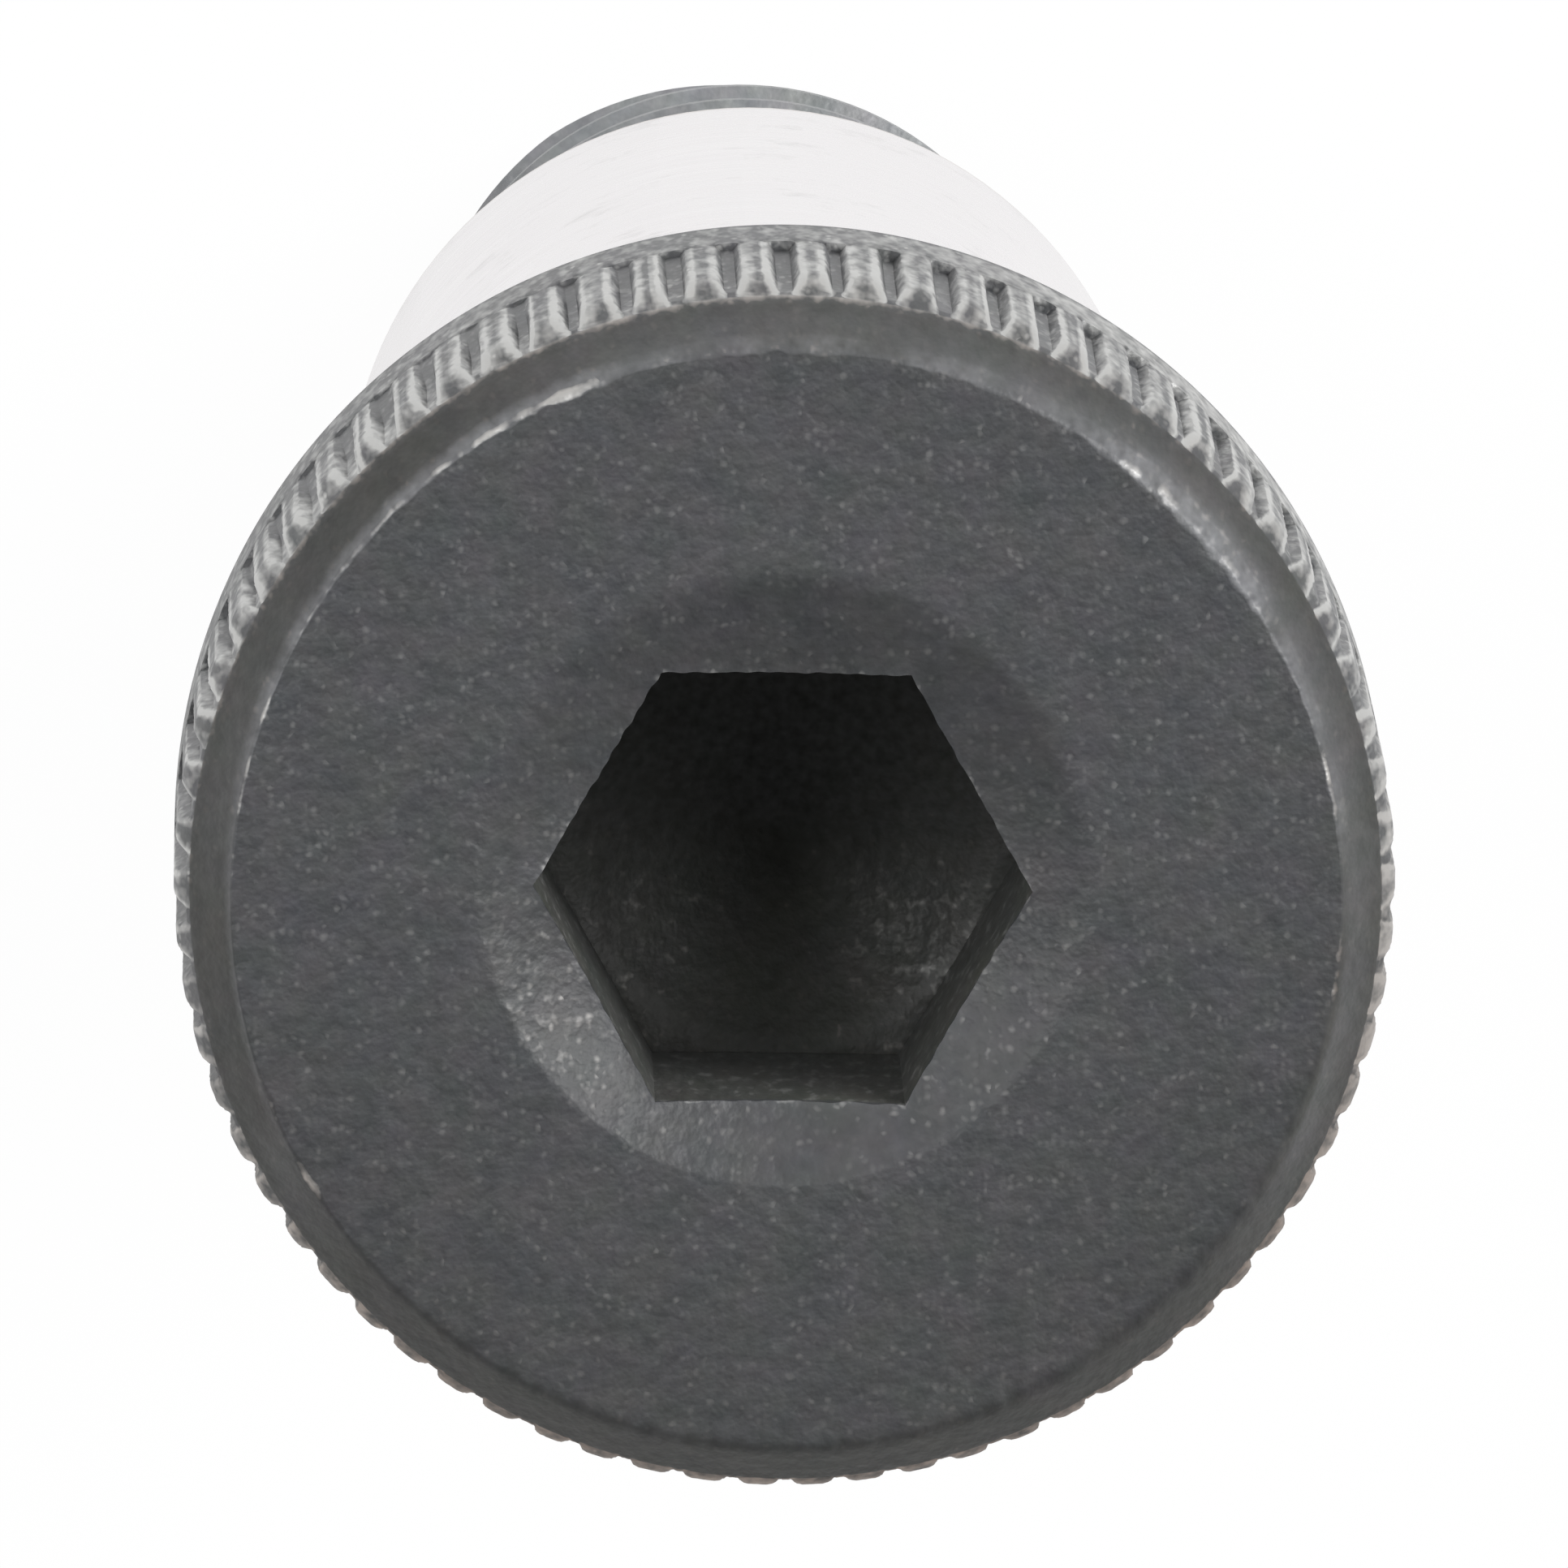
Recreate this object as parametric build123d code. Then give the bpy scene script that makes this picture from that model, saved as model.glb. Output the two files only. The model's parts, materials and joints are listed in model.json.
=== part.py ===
from build123d import *
from math import ceil, radians, tan
import os

# Socket head shoulder screw, standing on the end of its thread with its head up.
# The screw is one forged and turned piece. Heights are measured up from the thread's end.

# Head, measured down from its face
head_diameter = 11.1
head_height = 5.56
face_diameter = 10.06
bevel_diameter = 10.83
bevel_height = 0.97
lead_height = 0.68
rim_break = 0.06

# Straight knurl round the head, with a plain band below it
groove_count = 70
groove_width = 0.27
groove_floor_width = 0.1
groove_depth = 0.12
plain_band_width = 1.45

# Hexagon socket, punched a little off the head's centre
socket_across_flats = 3.97
socket_depth = 3.85
socket_floor_angle = 120.0
countersink_diameter = 5.54
countersink_angle = 120.0
socket_offset = 0.07

# Ground shoulder, with a relief neck under the head
shoulder_diameter = 7.87
shoulder_length = 25.4
shoulder_edge = 0.15
head_neck_diameter = 7.34
head_neck_width = 1.9
head_fillet = 0.3

# Threaded end, with a chamfered point and a relief neck
thread_diameter = 6.32
thread_length = 11.1
thread_point = 0.95
thread_neck_diameter = 4.75
thread_neck_width = 2.3
thread_fillet = 0.4

# Thread form, with the flats of its crest and root as shares of the pitch
thread_pitch = 1.27
thread_angle = 60.0
thread_crest_share = 0.125
thread_root_share = 0.2

# Overrun of the thread and knurl cuts past the surface that they cut
overrun = 0.1

head_radius = head_diameter / 2
shoulder_radius = shoulder_diameter / 2
thread_radius = thread_diameter / 2
head_neck_radius = head_neck_diameter / 2
thread_neck_radius = thread_neck_diameter / 2
underside_height = thread_length + shoulder_length
face_height = underside_height + head_height


def turned_blank():
    """The whole screw as it leaves the lathe: one half section turned about the axis."""
    thread_slope = thread_radius - thread_neck_radius
    head_slope = shoulder_radius - head_neck_radius
    with BuildPart() as blank:
        with BuildSketch(Plane.XZ):
            with BuildLine():
                thread = Polyline(
                    (0, 0),
                    (thread_radius - thread_point, 0),
                    (thread_radius, thread_point),
                    (thread_radius, thread_length - thread_neck_width),
                    (thread_neck_radius, thread_length - thread_neck_width + thread_slope),
                    (thread_neck_radius, thread_length - thread_fillet),
                )
                under_shoulder = TangentArc(
                    thread @ 1,
                    (thread_neck_radius + thread_fillet, thread_length),
                    tangent=(0, 1),
                )
                shoulder = Polyline(
                    under_shoulder @ 1,
                    (shoulder_radius - shoulder_edge, thread_length),
                    (shoulder_radius, thread_length + shoulder_edge),
                    (shoulder_radius, underside_height - head_neck_width),
                    (head_neck_radius, underside_height - head_neck_width + head_slope),
                    (head_neck_radius, underside_height - head_fillet),
                )
                under_head = TangentArc(
                    shoulder @ 1,
                    (head_neck_radius + head_fillet, underside_height),
                    tangent=(0, 1),
                )
                head = Polyline(
                    under_head @ 1,
                    (head_radius - rim_break, underside_height),
                    (head_radius, underside_height + rim_break),
                    (head_radius, face_height - bevel_height - lead_height),
                )
                lead = TangentArc(
                    head @ 1,
                    (bevel_diameter / 2, face_height - bevel_height),
                    tangent=(0, 1),
                )
                Polyline(
                    lead @ 1,
                    (face_diameter / 2, face_height),
                    (0, face_height),
                    thread @ 0,
                )
            make_face()
        revolve(axis=Axis.Z)
    return blank.part


def thread_groove():
    """The thread's groove, swept up a helix turn by turn, from below the point into the relief neck."""
    flank_slope = tan(radians(thread_angle / 2))
    half_root = thread_pitch * thread_root_share / 2
    half_gap = thread_pitch * (1 - thread_crest_share) / 2
    root_radius = thread_radius - (half_gap - half_root) / flank_slope
    outer_radius = thread_radius + overrun
    half_mouth = half_gap + overrun * flank_slope
    outline = Polyline(
        (root_radius, -half_root),
        (root_radius, half_root),
        (outer_radius, half_mouth),
        (outer_radius, -half_mouth),
        close=True,
    )
    path = Helix(thread_pitch, thread_pitch, thread_radius)
    turn = sweep(Plane.XZ * make_face(outline), path=path, is_frenet=True)
    groove_end = thread_length - thread_neck_width / 2
    turn_count = ceil(groove_end / thread_pitch) + 1
    return [Pos(Z=groove_end - (index + 1) * thread_pitch) * turn for index in range(turn_count)]


def knurl_grooves():
    """Grooves down the head: they fade in over the rounded lead and stop square at the plain band."""
    root_radius = head_radius - groove_depth
    outer_radius = head_radius + overrun
    half_floor = groove_floor_width / 2
    flank_slope = (groove_width / 2 - half_floor) / groove_depth
    half_mouth = half_floor + flank_slope * (groove_depth + overrun)
    outline = Polyline(
        (-half_mouth, outer_radius),
        (-half_floor, root_radius),
        (half_floor, root_radius),
        (half_mouth, outer_radius),
        close=True,
    )
    groove = extrude(make_face(outline), head_height - plain_band_width)
    groove_base = underside_height + plain_band_width
    return [Pos(Z=groove_base) * place * groove for place in PolarLocations(0, groove_count)]


def hexagon_socket():
    """The hexagon, its conical floor and the countersink at its mouth."""
    countersink_radius = countersink_diameter / 2
    inscribed_radius = socket_across_flats / 2
    mouth_height = countersink_radius / tan(radians(countersink_angle / 2))
    floor_height = inscribed_radius / tan(radians(socket_floor_angle / 2))
    from_base = (Align.CENTER, Align.CENTER, Align.MIN)
    hexagon = extrude(RegularPolygon(inscribed_radius, 6, major_radius=False), socket_depth)
    mouth = Cone(countersink_radius, 0, mouth_height, align=from_base)
    floor = Pos(Z=socket_depth) * Cone(inscribed_radius, 0, floor_height, align=from_base)
    return Pos(0, socket_offset, face_height) * Rot(X=180) * (hexagon + mouth + floor)


shoulder_screw = turned_blank() - thread_groove() - knurl_grooves() - hexagon_socket()

os.makedirs("parts", exist_ok=True)
export_step(shoulder_screw, "parts/shoulder_screw.step")
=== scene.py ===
# %% [markdown]
# # A socket head shoulder screw
# The screw stands on the end of its thread, with the face of its head towards the camera above it. It is one piece of
# alloy steel: the head is forged and knurled, the socket is punched, the shoulder is ground bright and the rest is
# black oxide. The solid from the CAD model gives the sizes. This script replaces its plain surface by one closed mesh
# of the same form, which also has the rounded edges, the uneven grooves and the wear of a real screw.

# %% Load the frame
import bmesh
import bpy
import json
import math
import numpy as np
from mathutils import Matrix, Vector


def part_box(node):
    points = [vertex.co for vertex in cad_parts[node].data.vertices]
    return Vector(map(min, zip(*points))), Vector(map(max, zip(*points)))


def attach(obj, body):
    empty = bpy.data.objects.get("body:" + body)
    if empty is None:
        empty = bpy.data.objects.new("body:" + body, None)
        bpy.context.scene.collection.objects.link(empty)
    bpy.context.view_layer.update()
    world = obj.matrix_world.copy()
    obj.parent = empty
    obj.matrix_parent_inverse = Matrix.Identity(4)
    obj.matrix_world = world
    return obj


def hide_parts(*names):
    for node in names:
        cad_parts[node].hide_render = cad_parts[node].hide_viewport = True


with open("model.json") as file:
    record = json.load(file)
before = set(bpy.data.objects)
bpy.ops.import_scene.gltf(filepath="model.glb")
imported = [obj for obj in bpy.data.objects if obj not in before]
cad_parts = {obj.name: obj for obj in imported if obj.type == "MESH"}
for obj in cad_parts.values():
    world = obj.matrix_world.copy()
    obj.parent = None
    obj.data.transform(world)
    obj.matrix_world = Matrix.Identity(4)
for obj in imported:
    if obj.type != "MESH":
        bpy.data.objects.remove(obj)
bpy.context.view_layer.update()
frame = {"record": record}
mm_per_m = 1000
node_low, node_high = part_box("shoulder_screw")
print("CAD box in mm:", [round(mm_per_m * side, 2) for side in node_high - node_low])

# %% [markdown]
# ## Sizes
# Everything below is worked out in millimetres, with z up from the end of the thread. The outer sizes come from the
# frame: its box gives the head's radius and the height of the face, and its mounts give the shoulder and the thread.
# The other values are those of the solid, such as the bevel round the face, so both models have the same form.

# %% Sizes of the screw
mounts = {mount["name"]: mount for mount in frame["record"]["mounts"]}
head_radius = mm_per_m * node_high.y
face_height = mm_per_m * node_high.z
underside_height = mm_per_m * mounts["head_underside"]["pos_m"][2]
shoulder_end_height = mm_per_m * mounts["shoulder_end"]["pos_m"][2]
shoulder_radius = mounts["shoulder"]["dims"]["r_mm"]
thread_radius = mounts["thread"]["dims"]["r_mm"]
socket_offset = mm_per_m * mounts["key_socket"]["pos_m"][1]
print("head %.2f, shoulder %.2f, thread %.2f mm across" % (2 * head_radius, 2 * shoulder_radius, 2 * thread_radius))

# %% [markdown]
# ## One mesh of rings
# A turned part is a stack of rings, so the mesh is one too: each ring is a row of points round the axis, and each pair
# of rings is joined by a band of faces. A lathe modifier (Screw) could do this for a plain profile, but here the socket
# has six sides and the knurl has grooves, so each ring is an array of points that can take any shape. The columns are
# shared by all the rings of the head: twelve of them to each groove of the knurl.
#
# Each point also carries three marks that the materials read. Worn says how far the black film is rubbed off, dull how
# dark and matt the film is, and thin how much grey steel shows through it. In places these marks hold painted light and
# shade instead: wear and thin film are painted where light falls, and dullness is painted where shade falls.

# %% Rings and their marks
groove_count = 70
columns_per_groove = 12
column_count = groove_count * columns_per_groove
column_angle = np.arange(column_count) * 2 * math.pi / column_count
rings = []


def add_ring(radius, height, finish, angle=column_angle, centre=(0.0, 0.0), worn=0.0, dull=0.0, thin=0.0):
    """Add a ring of points, with the finish of the band that leads to it from the ring before."""
    radius = np.broadcast_to(radius, angle.shape)
    points = np.empty((len(angle), 3))
    points[:, 0] = radius * np.cos(angle) + centre[0]
    points[:, 1] = radius * np.sin(angle) + centre[1]
    points[:, 2] = height
    marks = np.empty((len(angle), 3))
    marks[:, 0] = worn
    marks[:, 1] = dull
    marks[:, 2] = thin
    rings.append((points, marks, finish))


print("columns round the head:", column_count)

# %% [markdown]
# ## Unevenness
# No worn edge is even, so its width and its wear need a wave that runs smoothly round the axis and closes on itself.
# A Displace modifier with a noise texture could make the surface uneven, but not the width of one edge. A sum of sine
# waves with whole numbers of waves to a turn closes by itself, and it can drive any value of a ring.

# %% Waves and bumps round the axis
any_phase = 6.28


def wobble(angle, lowest, highest, seed):
    """A smooth random wave round the axis, about -1 to 1, with the given numbers of waves to a turn."""
    draw = np.random.RandomState(seed)
    waves = np.arange(lowest, highest + 1)
    total = sum(math.sin(draw.uniform(0, any_phase)) * np.sin(n * angle + draw.uniform(0, any_phase)) for n in waves)
    return total / math.sqrt(len(waves) / 4)


def bump(away, half_width):
    """A smooth bump of height 1, from the distance to its middle."""
    return np.exp(-(away / half_width) ** 2)


def towards(degrees, sharpness):
    """A broad bump round the socket, centred on a direction that is measured anticlockwise from the right."""
    return np.exp(sharpness * (np.cos(column_angle - math.radians(degrees)) - 1))


def patch(clock_degrees, half_width):
    """A bump at a place round the face, in degrees clockwise from the top."""
    place = 90 - clock_degrees
    return bump((np.degrees(column_angle) - place + 180) % 360 - 180, half_width)


print("a patch of 10 degrees covers", int(np.sum(patch(0, 10) > 0.5)), "columns")

# %% [markdown]
# ## The socket
# The mouth is countersunk and the hexagon is punched into the head, so the floor is the cone that the punch's point
# pushed down. The punch has a little draft, and it went in slightly turned and off the head's centre. A Boolean
# modifier could cut the same hexagon, but its long flat faces would have no points to carry wear. Seen from the axis, a
# hexagon's wall is its inscribed radius divided by a cosine that starts again at each corner, which gives the ring of a
# wall in one line.

# %% Hexagon of the punch
inscribed_radius = 3.97 / 2
from_flat = (column_angle % (math.pi / 3)) - math.pi / 6
hexagon_radius = inscribed_radius / np.cos(from_flat)
punch_draft = 0.03
wall_radius = hexagon_radius - punch_draft
punch_angle = column_angle - math.radians(0.8)
punch_centre = (-0.03, socket_offset)
punched = {"angle": punch_angle, "centre": punch_centre}
print("hexagon: %.2f mm across its flats" % (2 * wall_radius.min()))

# %% Floor and walls of the socket
socket_depth = 3.85
floor_height = face_height - socket_depth
floor_rise = inscribed_radius / math.tan(math.radians(60))
countersink_radius = 5.54 / 2
countersink_slope = math.tan(math.radians(60))
mouth_depth = (countersink_radius - hexagon_radius) / countersink_slope
scuffed = 0.95 * towards(-35, 5) + 0.75 * towards(-148, 6)
# Painted light: the floor's thin film is lighter towards the top, where the walls cast their shade on it.
floor_painted_light = 0.45 * towards(90, 0.8)


def floor_ring(radius, height, scuff):
    """A ring of the floor: specked with bare steel where keys have scuffed it, duller elsewhere, and painted lighter
    towards the top.
    """
    add_ring(radius, height, "socket", worn=0.33 * scuff, dull=1 - np.clip(scuff, 0, 1), thin=floor_painted_light, **punched)


for share in (0.02, 0.15, 0.3, 0.45, 0.6, 0.75, 0.9, 1.0):
    cone_radius = share * (inscribed_radius - punch_draft)
    floor_ring(cone_radius, floor_height - (1 - share) * floor_rise, scuffed * min(1.4 * share, 1))
floor_ring(wall_radius, floor_height, scuffed)
# Painted light: the walls' thin film is lighter towards their foot, where shade gathers in the socket.
for share in (0.02, 0.25, 0.5, 0.75, 0.97):
    wall_height = floor_height + share * (socket_depth - mouth_depth)
    add_ring(wall_radius, wall_height, "socket", worn=0.25, thin=0.45 * (1 - share), **punched)
print("floor and walls of the socket:", len(rings), "rings")

# %% [markdown]
# Countersinking and punching are two operations, so the countersink's circle sits a little higher than the hexagon. Its
# outer edge is rounded by wear, least at the lower left, where the edge still shows as a line. A Bevel modifier has one
# width for the whole edge, so the rounding is five rings on a curve whose width changes with the direction.

# %% Countersink and its rounded edge
mouth_wear = 0.15 + 0.15 * wobble(column_angle, 3, 40, 11)
mouth_radius = wall_radius + 0.004 * wobble(column_angle, 10, 70, 13)
add_ring(mouth_radius, face_height - mouth_depth, "black_oxide", worn=mouth_wear, **punched)

cone_wear = 0.26 * towards(215, 5) + 0.16 * towards(325, 8)
cone_dull = 0.12 + 0.15 * towards(218, 3)
cone_shift = 0.1
for share in (0.06, 0.35, 0.65):
    cone_radius = hexagon_radius + share * (countersink_radius - hexagon_radius)
    cone_height = face_height - (countersink_radius - cone_radius) / countersink_slope
    add_ring(cone_radius, cone_height, "black_oxide", angle=punch_angle,
             centre=(punch_centre[0], punch_centre[1] + share * cone_shift), worn=cone_wear, dull=cone_dull)

cone_centre = (punch_centre[0], punch_centre[1] + cone_shift)
cone_edge = 0.13 - 0.1 * np.clip(1.3 * towards(245, 1.2), 0, 1)
for share in (0.0, 0.25, 0.5, 0.75, 1.0):
    edge_radius = countersink_radius + cone_edge * (2 * share - 1)
    edge_height = face_height - (1 - share) ** 2 * cone_edge / countersink_slope
    add_ring(edge_radius, edge_height, "black_oxide", angle=punch_angle, centre=cone_centre,
             worn=cone_wear * (1 - share), dull=cone_dull * (1 - share))
print("with the countersink:", len(rings), "rings")

# %% [markdown]
# ## The face, its worn edge and the bevel
# The face is flat. Its edge is where the screw has been knocked in the bin, so the edge is rounded by a different
# amount all the way round, and the black film is gone where it was knocked most. A table lists the worn places, each
# with its direction, reach, width and wear, and their bumps are added up. Waves make the sum uneven. This too needs a
# rounding of many widths, so it is a curve of six rings between the face and the bevel.

# %% Worn places of the edge
edge_places = (
    # degrees clockwise from the top, half width in degrees, width in mm, wear
    (46, 18, 0.12, 0.5),
    (18, 10, 0.05, 0.1),
    (78, 6, 0.03, 0.7),
    (97, 3.5, 0.03, 0.9),
    (331, 13, 0.05, 0.9),
    (311, 10, 0.03, 0.55),
    (288, 12, 0.02, 0.65),
    (339, 5, 0.05, 0.5),
    (353, 6, 0.06, 0.25),
    (3, 5, 0.06, 0.2),
    (240, 2.5, 0.03, 0.9),
    (249, 2.0, 0.03, 0.9),
    (140, 30, 0.15, 0.0),
    (200, 35, 0.12, 0.0),
)
edge_width = sum(width * patch(place, reach) for place, reach, width, wear in edge_places)
edge_wear = np.clip(sum(wear * patch(place, reach) for place, reach, width, wear in edge_places), 0, 1.0)
edge_wear = edge_wear * np.clip(0.8 + 0.5 * wobble(column_angle, 12, 80, 23), 0.25, 1.3)
face_side = np.clip(0.012 + edge_width * (0.7 + 0.15 * wobble(column_angle, 30, 150, 5)), 0.008, 0.15)
bevel_side = np.clip(0.02 + edge_width * (1.3 + 0.25 * wobble(column_angle, 25, 140, 7)), 0.012, 0.3)
print("worn edge: %.2f to %.2f mm wide on the bevel" % (bevel_side.min(), bevel_side.max()))

# %% [markdown]
# Beside the edge the film is thin in a ribbon that comes and goes. The lower side of the face, its edge and the bevel
# are painted darker and duller, as painted shade for the darker surroundings that the real head faces there rather than
# this white floor, and so is the inner side of the bevel at two more places.

# %% Face and rounded edge
face_radius = 10.06 / 2
bevel_radius = 10.83 / 2
bevel_height = 0.97
bevel_run = np.array([bevel_radius - face_radius, -bevel_height])
bevel_start = bevel_side / np.linalg.norm(bevel_run)
ribbon = 0.9 * patch(46, 24) + 0.85 * patch(325, 28) + 0.6 * patch(292, 15) + 0.4 * patch(75, 10) + 0.25 * patch(5, 20)
ribbon = np.clip(ribbon * (1 + 0.25 * wobble(column_angle, 8, 60, 17)), 0, 1)
# Painted shade: darker and duller towards the lower side, and at two places on the inner side of the bevel.
low_side_shade = np.clip(-1.5 * np.sin(column_angle), 0, 1)
inner_side_shade = 0.95 * patch(5, 20) + 0.8 * patch(95, 22)

for radius in (3.1, 3.6, 4.1, 4.6, 4.85):
    blend = (radius - countersink_radius) / (face_radius - countersink_radius)
    add_ring(radius, face_height, "black_oxide", centre=(cone_centre[0] * (1 - blend), cone_centre[1] * (1 - blend)),
             dull=0.3 * low_side_shade * blend)
corner = np.stack([np.full(column_count, face_radius), np.full(column_count, face_height)])
edge_start = corner - np.stack([face_side, 0 * face_side])
edge_end = corner + bevel_run[:, None] * bevel_start
for share, wear in ((0.0, 0.0), (0.2, 0.7), (0.4, 1.0), (0.6, 0.9), (0.8, 0.6), (1.0, 0.0)):
    curve = (1 - share) ** 2 * edge_start + 2 * share * (1 - share) * corner + share ** 2 * edge_end
    shaded = (0.3 + 0.7 * share) * np.clip(low_side_shade + inner_side_shade, 0, 1)
    add_ring(curve[0], curve[1], "black_oxide", worn=edge_wear * wear, dull=np.maximum(0.35 * share, shaded),
             thin=ribbon * min(3 * share, 0.75))
print("with the face:", len(rings), "rings")

# %% Bevel
bevel_rows = (
    # share of the way down, thin film along the edge, more of it at the broad place
    (0.15, 0.4, 0.25),
    (0.22, 0.08, 0.25),
    (0.42, 0, 0.08),
    (0.6, 0, 0),
    (0.8, 0, 0),
    (0.9, 0, 0),
    (0.96, 0, 0),
)
# Painted shade: the bevel is darker and duller at the upper left and the left.
upper_left_bevel_shade = 0.95 * np.clip(patch(315, 45) + patch(255, 20), 0, 1)
broad_side = patch(46, 30)
high_side = np.clip(patch(0, 50) + 0.5 * patch(300, 30), 0, 1)
for share, edge_thin, broad_thin in bevel_rows:
    thin = edge_thin + broad_thin * broad_side
    along = bevel_start + (1 - bevel_start) * share
    dull = np.maximum(np.maximum(0.35 + 0.65 * share, low_side_shade), upper_left_bevel_shade)
    dull = np.maximum(dull, inner_side_shade * (1 - share)) * (1 - 0.15 * share * patch(5, 25))
    corner_wear = np.interp(share, (0.8, 0.96), (0, 0.7)) * high_side
    add_ring(face_radius + along * bevel_run[0], face_height + along * bevel_run[1], "black_oxide",
             worn=0.5 * thin * ribbon + corner_wear, dull=dull * (1 - 0.7 * corner_wear), thin=thin * ribbon)
print("with the bevel:", len(rings), "rings")

# %% [markdown]
# ## The knurl
# The head is knurled so that it can be turned by hand: straight grooves are rolled down its side, and they fade out
# over the rounded lead at the front and stop square before a plain band. An Array modifier round the axis would repeat
# one groove exactly, but rolled grooves differ a little, so each has its own width, depth and shift from a seeded draw.
# Each ring asks how wide the grooves are at its own radius, and puts columns on the edges of the lands. So the edge
# between lead and groove is a clean line that widens towards the back.

# %% Grooves of the knurl
groove_floor_half = 0.062
groove_mouth_half = 0.13
groove_depth = 0.12
lead_height = 0.68
plain_band_width = 1.45
lead_rise = head_radius - bevel_radius
lead_radius = (lead_rise ** 2 + lead_height ** 2) / (2 * lead_rise)
crest_depth = bevel_height + lead_height
groove_end_depth = face_height - underside_height - plain_band_width
flank = (groove_mouth_half - groove_floor_half) / groove_depth
half_pitch = math.pi * head_radius / groove_count

draw = np.random.RandomState(29)
groove_shift = draw.normal(0, 0.008, groove_count)
groove_root = head_radius - groove_depth * draw.uniform(0.88, 1.04, groove_count)
groove_floor = groove_floor_half * draw.uniform(0.75, 1.25, groove_count)
groove_degrees = (np.arange(groove_count) * 360 / groove_count + 180) % 360 - 180
print("grooves: %.2f mm apart" % (2 * half_pitch))

# %% [markdown]
# From the middle of a groove to the middle of the next land there are seven columns: two on the floor, one on each
# side of the land's edge and three on the land. The second half of each land belongs to the next groove and counts them
# backwards. The grooves run out towards the plain band at the upper left, and they are worn shallow at the right.

# %% Shape of one ring of the knurl
step_of_column = np.array([0, 1, 2, 3, 4, 5, 6, 5, 4, 3, 2, 1])
side_of_column = np.array([1, 1, 1, 1, 1, 1, 1, -1, -1, -1, -1, -1])
land_middle = 6
past_land = side_of_column < 0
groove_of_column = np.arange(groove_count)[:, None] + past_land
owner = groove_of_column % groove_count
edge_rounding = 0.008


def head_profile(depth):
    """The head's radius over its lands, at a depth below the face."""
    past = max(crest_depth - depth, 0)
    return head_radius - lead_radius + math.sqrt(lead_radius ** 2 - past ** 2)


def knurl_shape(depth):
    """The angle and radius of every column of one ring of lands and grooves."""
    outer = head_profile(depth)
    mouth = groove_floor + flank * np.maximum(outer - groove_root, 0)
    mouth = mouth + draw.normal(0, 0.004, groove_count)
    steps = np.stack([0 * mouth, np.minimum(groove_floor, mouth - 0.024), mouth - 0.012, mouth + 0.012, mouth + 0.05,
                      (mouth + 0.05 + half_pitch) / 2, 0 * mouth + half_pitch])
    across = steps[step_of_column[None, :], owner]
    run_out = np.interp(depth, (groove_end_depth - 1.5, groove_end_depth), (0.0, 0.8 * groove_depth))
    root = groove_root + run_out * bump(groove_degrees - 40, 40)
    root = root + 0.65 * groove_depth * bump(groove_degrees + 82, 24)
    mouth, root, floor = mouth[owner], root[owner], groove_floor[owner]
    cut = root + np.maximum(across - floor, 0) / flank
    edge_round = np.where(np.abs(across - mouth) < 0.02, edge_rounding, 0.0)
    radius = np.minimum(np.where(across < mouth, cut, outer), outer - edge_round)
    radius = radius - np.abs(draw.normal(0, 0.002, radius.shape))
    shift = groove_shift[owner] * (step_of_column < land_middle)
    along = 2 * half_pitch * groove_of_column + side_of_column * across + shift
    return math.pi / 2 + along / head_radius, radius


print("columns of a groove:", step_of_column.tolist())

# %% [markdown]
# The film goes first from the edges of the lands, where hands and other screws rub them. The wear is made strongest at
# the top as painted light, and the lower side is painted darker and duller as painted shade. At the upper left the
# floors of the grooves are rubbed too, and at the front ends of the lands the film is kept. The lower rim is painted
# grey all along, as a painted highlight.

# %% Wear of the knurl
wear_of_step = np.array([0.2, 0.25, 0.6, 1.15, 1.0, 0.6, 0.5])
wear_of_column = wear_of_step[step_of_column] * draw.uniform(0.6, 1.2, (groove_count, columns_per_groove))
kept_of_step = np.array([0.0, 0.0, 0.0, 0.0, 0.1, 0.2, 0.3])
in_groove = step_of_column < 3
upper_right_reach = math.sqrt(700)


def knurl_wear(angle, depth):
    """The wear and the dullness of every column of one ring, with painted light at the top and the rim and painted
    shade below.
    """
    degrees = np.degrees(angle)
    to_top = 0.5 + 0.5 * np.sin(angle - math.radians(8))
    from_upper_right = (degrees - 42 + 180) % 360 - 180
    from_right = (degrees + 5 + 180) % 360 - 180
    rubbed_side = bump(degrees - 140, 35)
    # Painted light: wear, and with it bare steel, grows towards the top.
    worn = wear_of_column * draw.uniform(0.85, 1.15, angle.shape) * np.clip(1.9 * to_top, 0, 1)
    worn = worn * np.interp(depth, (bevel_height, 1.2, 2.0, groove_end_depth), (1.0, 1.35, 1.1, 0.8))
    worn = worn + 0.2 * in_groove * bump(from_upper_right, upper_right_reach)
    worn = worn * (1 - 0.05 * rubbed_side)
    worn = worn + rubbed_side * np.interp(depth, (1.2, 2.4, 3.4), (0.5, 0.35, 0.0)) * in_groove
    front = np.interp(depth, (1.1, 1.6), (1.0, 0.0)) * kept_of_step[step_of_column]
    front = front * (1 - 0.8 * rubbed_side) * np.clip(3 * to_top - 0.9, 0.3, 1)
    kept_side = 0.4 * bump(degrees - 185, 25) + 0.25 * bump(from_upper_right + 15, upper_right_reach)
    # Painted highlight: the lower rim is painted lighter grey all along.
    low_rim_highlight = 0.75 * np.clip(1.1 - 2.4 * to_top, 0, 1)
    worn = worn * (1 - front) * (1 - kept_side) + low_rim_highlight + 0.2 * bump(from_right, 20)
    # Painted shade: the lower side is darker and duller.
    dull = np.maximum(np.clip(1.3 - 2.2 * to_top, 0, 1), front)
    return worn, dull


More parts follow.
